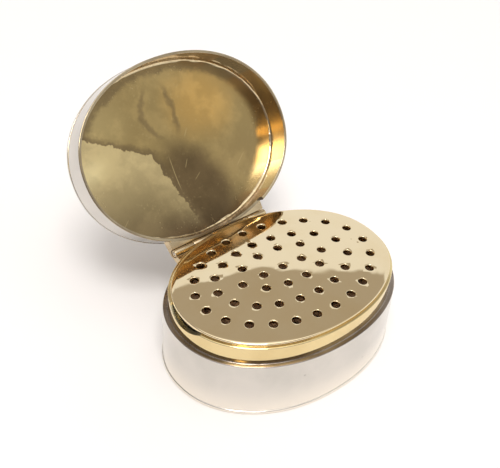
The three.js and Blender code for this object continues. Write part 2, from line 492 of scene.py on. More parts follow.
@dataclass(frozen=True)
class HingeLine:
    """The axis that the lid turns on, and how far it stands open."""

    y: float = 14.01
    z: float = 9.9
    open_degrees: float = 127.5

    def place(self, radius: float, degrees: float) -> Vector:
        """A point about the hinge as (y, z), by radius and angle."""
        angle = math.radians(degrees)
        return Vector((radius * math.cos(angle), radius * math.sin(angle)))

    def arc(self, radius: float, start: float, end: float, steps: int) -> list[Vector]:
        """Points on an arc about the hinge."""
        return [self.place(radius, degrees) for degrees in spread(start, end, steps)]

    def open(self, piece: Object) -> None:
        """Turns a piece that was modelled closed to where the lid stands open.

        Args:
            piece: The piece to turn.
        """
        axis = Vector((0, self.y * MM, self.z * MM))
        turn = Matrix.Rotation(-math.radians(self.open_degrees), 4, "X")
        piece.matrix_world = Matrix.Translation(axis) @ turn @ Matrix.Translation(-axis)
        settle(piece)

    def bar(self, name: str, section: list[Vector], half_length: float) -> Object:
        """Extrudes a bar along the hinge.

        Args:
            name: The new piece's name.
            section: Points as (y, z) about the hinge.
            half_length: How far the bar reaches to each side.

        Returns:
            The new piece.
        """
        piece = add_circle(name, len(section), "NGON")
        for vertex, point in zip(piece.data.vertices, section):
            vertex.co = Vector((-half_length, self.y + point.x, self.z + point.y)) * MM
        with editing(piece, "FACE"):
            along = (2 * half_length * MM, 0, 0)
            bpy.ops.mesh.extrude_region_move(TRANSFORM_OT_translate={"value": along})
        weld(piece)
        return piece

    def turned(self, name: str, corners: list[Corner], sides: int) -> Object:
        """Spins a rounded profile round the hinge line.

        Args:
            name: The new piece's name.
            corners: The profile's corners, as x and radius.
            sides: How many steps make the full turn.

        Returns:
            The new piece.
        """
        profile = round_section(corners)
        piece = add_circle(name, len(profile), "NOTHING")
        for vertex, (x, radius) in zip(piece.data.vertices, profile):
            vertex.co = Vector((x, self.y, self.z + radius)) * MM
        with editing(piece, "EDGE"):
            centre = (0, self.y * MM, self.z * MM)
            bpy.ops.mesh.spin(steps=sides, angle=2 * math.pi, center=centre, axis=(1, 0, 0))
        weld(piece)
        smooth(piece)
        return piece


class Wiring:
    """Adds nodes to a node tree and links them in one call."""

    def __init__(self, tree: NodeTree) -> None:
        """Keeps the tree to add to."""
        self.tree = tree

    def add(self, kind: str, settings: dict[str, object] | None = None, **inputs: object) -> Node:
        """Adds a node.

        Args:
            kind: The node's type, without its ShaderNode prefix.
            settings: The node's own properties by name.
            inputs: Values or output sockets by input name, with _ for a space.

        Returns:
            The new node.
        """
        node = self.tree.nodes.new("ShaderNode" + kind)
        for key, value in (settings or {}).items():
            setattr(node, key, value)
        for key, value in inputs.items():
            socket = self.socket(node, key)
            if isinstance(value, NodeSocket):
                self.tree.links.new(value, socket)
            else:
                socket.default_value = value
        return node

    def socket(self, node: Node, key: str) -> NodeSocket:
        """Finds an input.

        Args:
            node: The node that has it.
            key: Its name, or its number as in in_0.

        Returns:
            The input.
        """
        if key.startswith("in_"):
            return node.inputs[int(key[3:])]
        wanted = key.replace("_", " ")
        return next(socket for socket in node.inputs if socket.name == wanted and socket.enabled)

    def math(self, operation: str, first: object, second: object = 0.5) -> NodeSocket:
        """The result of a sum on two numbers."""
        return self.add("Math", {"operation": operation}, in_0=first, in_1=second).outputs[0]

    def times(self, first: object, second: object) -> NodeSocket:
        """The product of two numbers."""
        return self.math("MULTIPLY", first, second)

    def minus(self, first: object, second: object) -> NodeSocket:
        """The difference of two numbers."""
        return self.math("SUBTRACT", first, second)

    def vector(self, operation: str, first: object, second: object) -> NodeSocket:
        """The result of a sum on two vectors."""
        return self.add("VectorMath", {"operation": operation}, in_0=first, in_1=second).outputs[0]

    def parts(self, place: NodeSocket) -> list[NodeSocket]:
        """The x, y and z of a place."""
        return list(self.add("SeparateXYZ", Vector=place).outputs)

    def reach(self, place: NodeSocket, half_x: float, half_y: float) -> NodeSocket:
        """How far out a place lies on an oval: 0 in the middle and 1 on the outline."""
        scaled = self.vector("MULTIPLY", place, (1 / half_x, 1 / half_y, 0))
        return self.add("VectorMath", {"operation": "LENGTH"}, in_0=scaled).outputs["Value"]

    def rotate(
        self, place: NodeSocket, axis: str, degrees: float,
        centre: tuple[float, float, float] = (0.0, 0.0, 0.0),
    ) -> NodeSocket:
        """A place turned about an axis through a centre."""
        settings, angle = {"rotation_type": axis + "_AXIS"}, math.radians(degrees)
        return self.add("VectorRotate", settings, Vector=place, Center=centre, Angle=angle).outputs[0]

    def ramp(
        self, value: object, low: float, high: float, to_low: float = 0.0, to_high: float = 1.0,
    ) -> NodeSocket:
        """A smooth step of a value from one range to another."""
        return self.add(
            "MapRange", {"interpolation_type": "SMOOTHSTEP"},
            in_0=value, in_1=low, in_2=high, in_3=to_low, in_4=to_high,
        ).outputs[0]

    def mix(self, share: object, first: object, second: object, blend: str = "MIX") -> NodeSocket:
        """A mix of two colours."""
        settings = {"data_type": "RGBA", "blend_type": blend}
        return self.add("Mix", settings, in_0=share, in_6=first, in_7=second).outputs[2]

    def noise(
        self, place: object, scale: object, detail: float = 2.0, roughness: float = 0.5,
    ) -> NodeSocket:
        """Noise from 0 to 1 at a place."""
        settings = {"Scale": scale, "Detail": detail, "Roughness": roughness}
        return self.add("TexNoise", Vector=place, **settings).outputs[0]

    def group(self, tree: NodeTree, place: NodeSocket, **values: float) -> bpy.types.NodeOutputs:
        """The outputs of a node group at a place."""
        return self.add("Group", {"node_tree": tree}, Vector=place, **values).outputs

    def surface(
        self, shade: object, rough: object, height: NodeSocket, depth: float, strength: float = 1.0,
        **values: object,
    ) -> None:
        """Closes a material with a surface on a bump.

        Args:
            shade: The colour.
            rough: The roughness.
            height: The bump's height from 0 to 1.
            depth: The bump's depth in metres.
            strength: The bump's strength.
            values: Further inputs of the surface.
        """
        bump = self.add("Bump", Height=height, Distance=depth, Strength=strength)
        shader = self.add(
            "BsdfPrincipled", Base_Color=shade, Roughness=rough, Normal=bump.outputs[0], **values,
        )
        self.add("OutputMaterial", Surface=shader.outputs[0])


class GroupWiring(Wiring):
    """The wiring of a node group that several finishes use."""

    def __init__(self, name: str, **inputs: float) -> None:
        """Starts a group that takes a place and some numbers.

        Args:
            name: The group's name.
            inputs: The numbers with their defaults, by input name with _ for a space.
        """
        super().__init__(bpy.data.node_groups.new(name, "ShaderNodeTree"))
        for key, value in inputs.items():
            self.declare(key, "INPUT", "NodeSocketFloat").default_value = value
        self.declare("Vector", "INPUT", "NodeSocketVector")
        self.given = self.tree.nodes.new("NodeGroupInput").outputs
        self.place = self.given["Vector"]

    def declare(self, key: str, side: str, kind: str) -> bpy.types.NodeTreeInterfaceSocket:
        """Adds a socket to the group's face."""
        name = key.replace("_", " ")
        return self.tree.interface.new_socket(name, in_out=side, socket_type=kind)

    def close(self, **masks: NodeSocket) -> NodeTree:
        """Gives the group its outputs.

        Args:
            masks: What it puts out, by name.

        Returns:
            The finished group.
        """
        for key in masks:
            self.declare(key, "OUTPUT", "NodeSocketFloat")
        put = self.tree.nodes.new("NodeGroupOutput").inputs
        for key, mask in masks.items():
            self.tree.links.new(mask, put[key])
        return self.tree


@dataclass(frozen=True)
class HandPolish:
    """Fine straight scratches and soft ripples, as hand polishing leaves them."""

    ripple_scale: float = 90.0
    scratch_scale: float = 700.0
    scratch_share: float = 0.5
    turns: tuple[float, ...] = (0.35, 1.25, 2.3)
    tilt: tuple[float, float] = (0.4, 0.3)
    stretch: float = 0.035
    line: tuple[float, float] = (0.63, 0.74)
    patch_scale: float = 160.0
    patch: tuple[float, float] = (0.35, 0.62)
    groove: float = 0.06
    ripple_detail: float = 1.0
    grain_roughness: float = 0.7

    def build(self) -> NodeTree:
        """Builds the group.

        Returns:
            A group with a height for Bump and a mask of the scratches.
        """
        wires = GroupWiring(
            "hand_polish", Ripple_Scale=self.ripple_scale, Scratch_Scale=self.scratch_scale,
            Scratch_Share=self.scratch_share,
        )
        ripple = wires.noise(wires.place, wires.given["Ripple Scale"], self.ripple_detail)
        scratches = 0.0
        for turn in self.turns:
            lean = (self.tilt[0] * turn, self.tilt[1], turn)
            turned = wires.add("Mapping", Vector=wires.place, Rotation=lean, Scale=(1, self.stretch, 1))
            grain = wires.noise(
                turned.outputs[0], wires.given["Scratch Scale"], roughness=self.grain_roughness,
            )
            scratches = wires.math("MAXIMUM", scratches, wires.ramp(grain, *self.line))
        patch = wires.ramp(wires.noise(wires.place, self.patch_scale), *self.patch)
        kept = wires.times(scratches, wires.times(patch, wires.given["Scratch Share"]))
        height = wires.minus(ripple, wires.times(kept, self.groove))
        return wires.close(Height=height, Scratches=kept)


@dataclass(frozen=True)
class TarnishBloom:
    """Cloudy tarnish with a few darker pits."""

    cloud_scale: float = 130.0
    clouds: tuple[float, float] = (0.38, 0.68)
    pit_scale: float = 900.0
    pits: tuple[float, float] = (0.22, 0.08)
    rare_scale: float = 420.0
    rare: tuple[float, float] = (0.62, 0.78)
    detail: float = 4.0
    roughness: float = 0.6

    def build(self) -> NodeTree:
        """Builds the group.

        Returns:
            A group with a mask of the clouds and one of the pits.
        """
        wires = GroupWiring("tarnish_bloom", Scale=self.cloud_scale)
        cloud = wires.noise(wires.place, wires.given["Scale"], self.detail, self.roughness)
        pit = wires.add("TexVoronoi", Vector=wires.place, Scale=self.pit_scale).outputs[0]
        rare = wires.ramp(wires.noise(wires.place, self.rare_scale), *self.rare)
        return wires.close(
            Clouds=wires.ramp(cloud, *self.clouds), Pits=wires.times(wires.ramp(pit, *self.pits), rare),
        )


class Effects:
    """The effects that several finishes use, each built once."""

    def __init__(self) -> None:
        """Builds the groups."""
        self.polish = HandPolish().build()
        self.bloom = TarnishBloom().build()


@dataclass(frozen=True)
class Finish:
    """What every finish has: a name, and the way that its material is begun."""

    name: str

    def start(self) -> tuple[Material, Wiring, NodeSocket]:
        """Begins the material.

        Returns:
            The material, the wiring of its empty tree and the place on the object.
        """
        made = bpy.data.materials.new(self.name)
        made.use_nodes = True
        made.node_tree.nodes.clear()
        wires = Wiring(made.node_tree)
        return made, wires, wires.add("TexCoord").outputs["Object"]


@dataclass(frozen=True)
class Polished(Finish):
    """A polished metal finish with cloudy colour, fine scratches and pits.

    Where it has a foot colour, the metal is painted paler from a set height down to the floor: a painted
    reflection of the bright floor near the base.
    """

    clean: Rgba
    clouded: Rgba
    pitted: Rgba
    cloud_scale: float = 130.0
    cloud_share: float = 0.6
    smoothest: float = 0.05
    roughest: float = 0.16
    ripple_scale: float = 90.0
    ripple_depth: float = 0.00001
    scratch_share: float = 0.6
    foot: Rgba | None = None
    painted_reflection_top: float = 5.5

    def material(self, effects: Effects) -> Material:
        """Builds the material.

        Args:
            effects: The shared node groups.

        Returns:
            The material.
        """
        made, wires, place = self.start()
        polish = wires.group(
            effects.polish, place, Ripple_Scale=self.ripple_scale, Scratch_Share=self.scratch_share,
        )
        bloom = wires.group(effects.bloom, place, Scale=self.cloud_scale)
        clouds = wires.times(bloom["Clouds"], self.cloud_share)
        tinted = wires.mix(clouds, self.clean, self.clouded)
        if self.foot:
            # The foot colour is a painted reflection of the bright floor, pale at the base and fading
            # upwards.
            low = wires.ramp(wires.parts(place)[2], self.painted_reflection_top * MM, 0.0)
            tinted = wires.mix(low, tinted, self.foot)
        shade = wires.mix(bloom["Pits"], tinted, self.pitted)
        dull = wires.math("MAXIMUM", clouds, polish["Scratches"])
        rough = wires.math("ADD", wires.times(dull, self.roughest - self.smoothest), self.smoothest)
        wires.surface(shade, rough, polish["Height"], self.ripple_depth, Metallic=1.0)
        return made


@dataclass(frozen=True)
class PaintedBlot:
    """A soft blot of painted reflection on the lid's floor: its middle, half sizes and lean in the closed
    lid's plan.
    """

    x: float
    y: float
    half_x: float
    half_y: float
    lean_degrees: float
    tint: Rgba
    strength: float
    hard: float


@dataclass(frozen=True)
class Streak:
    """A thin line that runs towards the hinge and leans or bows to one side.

    It is full from its middle out to the core shares of its length and width, and fades beyond.
    """

    x: float
    y: float
    half_length: float
    bend: float
    width: float = 0.75
    slope: float = 0.0
    bow_power: float = 1.5
    long_core: float = 0.5
    wide_core: float = 0.15


@dataclass(frozen=True)
class Drift:
    """How far noise pushes a place about, and at what scale."""

    scale: float
    reach: float
    detail: float = 4.0
    roughness: float = 0.62


@dataclass(frozen=True)
class ReflectionPaintedGilt(Finish):
    """The gilding on the lid's floor, with a painted reflection of the room in its colour: a khaki corner,
    brown and gold elsewhere, dark blots and lines.

    Its pattern is drawn in millimetres on the closed lid's plan, with +Y towards the hinge.
    """

    name: str = "reflection_painted_gilding"
    line: HingeLine = HingeLine()
    outline: Oval = Oval(17.45, 13.05)
    olive: Rgba = colour(0.45, 0.325, 0.14)
    khaki: Rgba = colour(0.73, 0.575, 0.295)
    dark: Rgba = colour(0.22, 0.155, 0.08)
    soft_drift: Drift = Drift(0.22, 3.0)
    fine_drift: Drift = Drift(0.55, 1.8)
    torn_drift: Drift = Drift(1.7, 0.9)
    # Blots of painted reflection, each with its tint.
    painted_blots: tuple[PaintedBlot, ...] = (
        PaintedBlot(-12.0, -7.0, 8.0, 6.0, 0.0, colour(0.58, 0.44, 0.20), 0.9, 0.9),
        PaintedBlot(6.5, -5.5, 9.0, 7.5, 0.0, colour(0.69, 0.43, 0.14), 0.85, 0.8),
        PaintedBlot(11.0, 5.0, 8.0, 7.0, 0.0, colour(0.43, 0.31, 0.14), 0.7, 0.8),
        PaintedBlot(1.0, 7.2, 7.2, 10.8, 20.0, colour(0.165, 0.112, 0.057), 0.95, 0.55),
        PaintedBlot(0.0, 14.0, 16.0, 8.2, 0.0, colour(0.13, 0.088, 0.045), 0.95, 0.8),
        PaintedBlot(9.5, -2.5, 3.5, 2.0, 30.0, colour(0.50, 0.33, 0.12), 0.6, 1.0),
    )
    # Blots of painted reflection inside the khaki corner.
    corner_blots: tuple[PaintedBlot, ...] = (
        PaintedBlot(-10.0, 13.0, 17.0, 15.0, 0.0, colour(0.25, 0.18, 0.09), 0.9, 0.75),
        PaintedBlot(-3.5, 14.0, 12.0, 6.5, 0.0, colour(0.16, 0.105, 0.055), 0.9, 0.8),
        PaintedBlot(-15.5, -1.0, 5.0, 3.0, 0.0, colour(0.95, 0.78, 0.42), 0.8, 0.9),
    )
    streaks: tuple[Streak, ...] = (Streak(-4.0, -6.0, 5.0, 0.24), Streak(1.5, -6.0, 4.6, -0.06))
    streak_share: float = 0.6
    scratches: tuple[Streak, ...] = (
        Streak(-2.1, 3.3, 3.2, 0.02, 0.11), Streak(0.4, 2.6, 0.7, 0.0, 0.11, -0.7),
        Streak(1.5, 5.0, 0.5, 0.0, 0.11, -1.5), Streak(2.2, -1.8, 0.7, 0.0, 0.14, -0.8),
        Streak(9.9, 5.1, 0.9, 0.0, 0.1, -1.3), Streak(-12.6, 7.6, 0.5, 0.0, 0.12, -1.2),
    )
    scratch_share: float = 0.45
    reflection_corner_start: tuple[float, float] = (-4.5, -0.2)
    reflection_corner_slope: float = 0.59
    reflection_corner_lean: float = 0.31
    reflection_corner_edge: tuple[float, float] = (0.0, 0.2)
    fringe: tuple[float, float] = (-1.4, -0.1)
    fringe_share: float = 0.75
    border: tuple[float, float] = (0.86, 0.93)
    border_far: tuple[float, float] = (-1.0, -5.0)
    border_share: float = 0.7
    corner: tuple[float, float] = (0.74, 0.9)
    corner_rough: float = 0.1
    fine_scratch_scale: float = 1900.0
    fine_scratch_share: float = 0.4
    cloud_scale: float = 210.0
    mottle: tuple[float, float] = (0.88, 1.06)
    rough: tuple[float, float] = (0.16, 0.3)
    ripple_depth: float = 0.00002

    def material(self, effects: Effects) -> Material:
        """Builds the material.

        Args:
            effects: The shared node groups.

        Returns:
            The material.
        """
        made, wires, place = self.start()
        # The floor's blots, lines, border and khaki corner are a painted reflection of the room.
        painted_map = PaintedReflectionMap(wires, place, self)
        polish = wires.group(effects.polish, place, Scratch_Scale=self.fine_scratch_scale)
        bloom = wires.group(effects.bloom, place, Scale=self.cloud_scale)
        grey = wires.ramp(bloom["Clouds"], 0.0, 1.0, *self.mottle)
        mottle = wires.add("CombineColor", Red=grey, Green=grey, Blue=grey).outputs[0]
        shade = wires.mix(1.0, painted_map.colours(), mottle, "MULTIPLY")
        scratches = polish["Scratches"]
        shade = wires.mix(wires.times(scratches, self.fine_scratch_share), shade, self.khaki)
        rough = wires.ramp(scratches, 0.0, 1.0, *self.rough)
        by_wall = painted_map.edge(painted_map.plan, self.corner)
        rough = wires.math("ADD", rough, wires.times(by_wall, self.corner_rough))
        wires.surface(shade, rough, polish["Height"], self.ripple_depth, Metallic=1.0)
        return made


class PaintedReflectionMap:
    """Draws the painted reflection on the lid's floor in its material's tree."""

    def __init__(self, wires: Wiring, place: NodeSocket, gilt: ReflectionPaintedGilt) -> None:
        """Lays the plan of the closed lid, in millimetres.

        Args:
            wires: The wiring of the material.
            place: The place on the object.
            gilt: The finish that lists what is drawn.
        """
        self.wires = wires
        self.gilt = gilt
        hinge = (0.0, gilt.line.y * MM, gilt.line.z * MM)
        shut = wires.rotate(place, "X", gilt.line.open_degrees, hinge)
        self.plan = wires.vector("MULTIPLY", shut, (1 / MM, 1 / MM, 0))

    def wander(self, place: NodeSocket, drift: Drift) -> NodeSocket:
        """Pushes a place about by noise, so that what is drawn on it has ragged edges.

        Args:
            place: The place on the plan.
            drift: How far it is pushed.

        Returns:
            The place that is drawn on.
        """
        wires = self.wires
        swirl = wires.add(
            "TexNoise", Vector=place, Scale=drift.scale, Detail=drift.detail, Roughness=drift.roughness,
        )
        centred = wires.vector("SUBTRACT", swirl.outputs["Color"], (0.5, 0.5, 0.5))
        push = wires.vector("MULTIPLY", centred, (drift.reach, drift.reach, 0))
        return wires.vector("ADD", place, push)

    def blot(self, place: NodeSocket, painted_blot: PaintedBlot) -> NodeSocket:
        """How much of a painted blot lies at a place.

        Args:
            place: The place on the plan.
            painted_blot: The blot of painted reflection.

        Returns:
            Its share, from 0 to its strength.
        """
        moved = self.wires.vector("SUBTRACT", place, (painted_blot.x, painted_blot.y, 0))
        turned = self.wires.rotate(moved, "Z", painted_blot.lean_degrees)
        reach = self.wires.reach(turned, painted_blot.half_x, painted_blot.half_y)
        return self.wires.ramp(reach, 1.0, 1.0 - painted_blot.hard, 0.0, painted_blot.strength)

    def reflection_corner(self, place: NodeSocket) -> NodeSocket:
        """How far inside the khaki corner of painted reflection a place lies.

        Args:
            place: The place on the plan.

        Returns:
            Millimetres, below nought outside the corner.
        """
        wires, gilt = self.wires, self.gilt
        parts = wires.parts(place)
        across = wires.minus(parts[0], gilt.reflection_corner_start[0])
        down = wires.minus(parts[1], gilt.reflection_corner_start[1])
        under = wires.minus(down, wires.times(across, gilt.reflection_corner_slope))
        beside = wires.minus(wires.times(down, gilt.reflection_corner_lean), across)
        return wires.math("MINIMUM", under, beside)

    def mark(self, place: NodeSocket, streak: Streak) -> NodeSocket:
        """How much of a line lies at a place.

        Args:
            place: The place on the plan.
            streak: The line.

        Returns:
            Its share, from 0 to 1.
        """
        wires = self.wires
        parts = wires.parts(place)
        down = wires.minus(parts[1], streak.y)
        along = wires.math("ABSOLUTE", down)
        bow = wires.times(wires.math("POWER", along, streak.bow_power), streak.bend)
        lean = wires.times(down, streak.slope)
        across = wires.minus(wires.minus(parts[0], streak.x), lean)
        off = wires.math("ABSOLUTE", wires.minus(across, bow))
        fade = wires.ramp(along, streak.half_length, streak.half_length * streak.long_core)
        return wires.times(wires.ramp(off, streak.width, streak.width * streak.wide_core), fade)

    def edge(self, place: NodeSocket, reach: tuple[float, float]) -> NodeSocket:
        """How far along a place is from one share of the floor's outline to another."""
        outline = self.gilt.outline
        return self.wires.ramp(self.wires.reach(place, outline.half_x, outline.half_y), *reach)

    def colours(self) -> NodeSocket:
        """Lays the colours over each other: the blots, lines, border and khaki corner of painted
        reflection, then the scratches.

        Returns:
            The colour of the floor.
        """
        wires, gilt = self.wires, self.gilt
        soft = self.wander(self.plan, gilt.soft_drift)
        fine = self.wander(self.plan, gilt.fine_drift)
        torn = self.wander(fine, gilt.torn_drift)
        reflection_corner = self.reflection_corner(torn)
        shade, corner_colour = gilt.olive, gilt.khaki
        for painted_blot in gilt.painted_blots:
            shade = wires.mix(self.blot(soft, painted_blot), shade, painted_blot.tint)
        for painted_blot in gilt.corner_blots:
            corner_colour = wires.mix(self.blot(soft, painted_blot), corner_colour, painted_blot.tint)
        for streak in gilt.streaks:
            shade = wires.mix(wires.times(self.mark(fine, streak), gilt.streak_share), shade, gilt.dark)
        far = wires.ramp(wires.parts(torn)[1], *gilt.border_far)
        border = wires.times(self.edge(torn, gilt.border), far)
        shade = wires.mix(wires.times(border, gilt.border_share), shade, gilt.dark)
        fringe = wires.times(wires.ramp(reflection_corner, *gilt.fringe), gilt.fringe_share)
        shade = wires.mix(fringe, shade, gilt.dark)
        shade = wires.mix(wires.ramp(reflection_corner, *gilt.reflection_corner_edge), shade, corner_colour)
        for scratch in gilt.scratches:
            share = wires.times(self.mark(self.plan, scratch), gilt.scratch_share)
            shade = wires.mix(share, shade, gilt.khaki)
        return shade


@dataclass(frozen=True)
class DriedSponge(Finish):
    """Dry natural sponge, with painted shade that darkens its pores by their depth."""

    name: str = "dried_sponge"
    skin: Rgba = colour(0.55, 0.34, 0.19)
    stained: Rgba = colour(0.40, 0.23, 0.12)
    # The colour at the bottom of a pore: painted shade.
    pores: Rgba = colour(0.16, 0.085, 0.045)
    cloud_scale: float = 500.0
    cloud_share: float = 0.5
    fibre_scale: float = 2600.0
    fibre_depth: float = 0.00012
    fibre_strength: float = 0.7
    rough: float = 0.95
    shine: float = 0.2

    def material(self, effects: Effects) -> Material:
        """Builds the material.

        Args:
            effects: The shared node groups.

        Returns:
            The material.
        """
        made, wires, place = self.start()
        bloom = wires.group(effects.bloom, place, Scale=self.cloud_scale)
        clouds = wires.times(bloom["Clouds"], self.cloud_share)
        depth = wires.add("Attribute", {"attribute_name": "pore"}).outputs["Fac"]
        # Painted shade: each point darkens towards the pore colour with its depth in a pore.
        shade = wires.mix(depth, wires.mix(clouds, self.skin, self.stained), self.pores)
        fibres = wires.noise(place, self.fibre_scale, detail=5.0, roughness=0.7)
        wires.surface(
            shade, self.rough, fibres, self.fibre_depth, self.fibre_strength, Specular_IOR_Level=self.shine,
        )
        return made


class Look(Enum):
    """The finishes on the box."""

    SILVER = Polished(
        "polished_silver", colour(0.66, 0.63, 0.585), colour(0.56, 0.54, 0.50), colour(0.42, 0.39, 0.35),
        cloud_scale=95.0, cloud_share=0.75, smoothest=0.09, roughest=0.22, scratch_share=0.7,
        # Painted reflection: the foot colour pales the silver towards the floor.
        foot=colour(0.84, 0.79, 0.71),
    )
    GILT = Polished(
        "polished_gilding", colour(0.85, 0.70, 0.455), colour(0.81, 0.64, 0.38), colour(0.34, 0.22, 0.10),
        smoothest=0.02, roughest=0.07, ripple_depth=0.000006, scratch_share=0.45,
    )
    WORN_GILT = Polished(
        "worn_gilding", colour(0.80, 0.63, 0.41), colour(0.54, 0.44, 0.42), colour(0.24, 0.15, 0.08),
        cloud_scale=85.0, cloud_share=0.85, smoothest=0.1, roughest=0.27,
        ripple_scale=110.0, ripple_depth=0.000018, scratch_share=0.9,
    )
    RUBBED_GILT = Polished(
        "rubbed_gilding", colour(0.68, 0.54, 0.34), colour(0.49, 0.38, 0.235), colour(0.12, 0.08, 0.05),
        cloud_scale=260.0, cloud_share=0.9, smoothest=0.12, roughest=0.34, scratch_share=0.9,
    )
    # Painted shade: the skirt's gilding is painted dark, as it lies in shadow under the plate's edge.
    SKIRT_GILT = Polished(
        "shade_painted_gilding", colour(0.34, 0.29, 0.20), colour(0.20, 0.16, 0.11), colour(0.10, 0.07, 0.05),
        cloud_scale=200.0, smoothest=0.2, roughest=0.4,
    )
    STEEL = Polished(
        "drawn_pin", colour(0.50, 0.49, 0.48), colour(0.33, 0.30, 0.28), colour(0.16, 0.12, 0.10),
        cloud_scale=600.0, smoothest=0.25, roughest=0.45,
    )
    BEZEL_GILT = Polished(
        "bezel_gilding", colour(0.78, 0.63, 0.34), colour(0.68, 0.53, 0.27), colour(0.30, 0.19, 0.09),
        cloud_scale=170.0, smoothest=0.04, roughest=0.13, scratch_share=0.7,
    )
    # Partly tarnish, partly painted shade: the dark ledge at the bezel's foot and the solder there.
    LEDGE_TARNISH_AND_SHADE = Polished(
        "ledge_tarnish_and_shade", colour(0.36, 0.30, 0.25), colour(0.22, 0.175, 0.14), colour(0.12, 0.09, 0.07),
        cloud_scale=220.0, cloud_share=0.9, smoothest=0.16, roughest=0.3, scratch_share=0.7,
    )
    NOTCH_STAIN = Polished(
        "notch_tarnish", colour(0.46, 0.45, 0.33), colour(0.34, 0.31, 0.22), colour(0.18, 0.14, 0.09),
        cloud_scale=260.0, smoothest=0.2, roughest=0.36,
    )
    RIM_STAIN = Polished(
        "rim_tarnish", colour(0.51, 0.42, 0.28), colour(0.31, 0.24, 0.15), colour(0.16, 0.11, 0.08),
        cloud_scale=110.0, cloud_share=0.9, smoothest=0.14, roughest=0.3, scratch_share=0.8,
    )
    LID_SOLDER = Polished(
        "lid_solder_gilding", colour(0.75, 0.61, 0.38), colour(0.49, 0.37, 0.21), colour(0.24, 0.15, 0.08),
        cloud_scale=320.0, smoothest=0.08, roughest=0.25, ripple_scale=1300.0, ripple_depth=0.00005,
    )
    LID_FLOOR = ReflectionPaintedGilt()
    SPONGE = DriedSponge()


class Finishes:
    """Every finish on the box, made once."""

    def __init__(self) -> None:
        """Builds the materials."""
        effects = Effects()
        self.made = {look: look.value.material(effects) for look in Look}

    def dress(self, piece: Object, body: Body, slot: Slot, nodes: list[str], *looks: Look) -> None:
        """Gives a finished piece its materials and body, and hides the CAD nodes that it stands for.

        Args:
            piece: The finished piece.
            body: The CAD body that it moves with.
            slot: The record's material slot. Not used.
            nodes: The CAD nodes that it replaces.
            looks: The finishes in slot order.
        """
        for look in looks:
            piece.data.materials.append(self.made[look])
        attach(piece, body.value)
        if nodes:
            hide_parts(*nodes)
        log.info("%s: %d faces on %s", piece.name, len(piece.data.polygons), body.value)


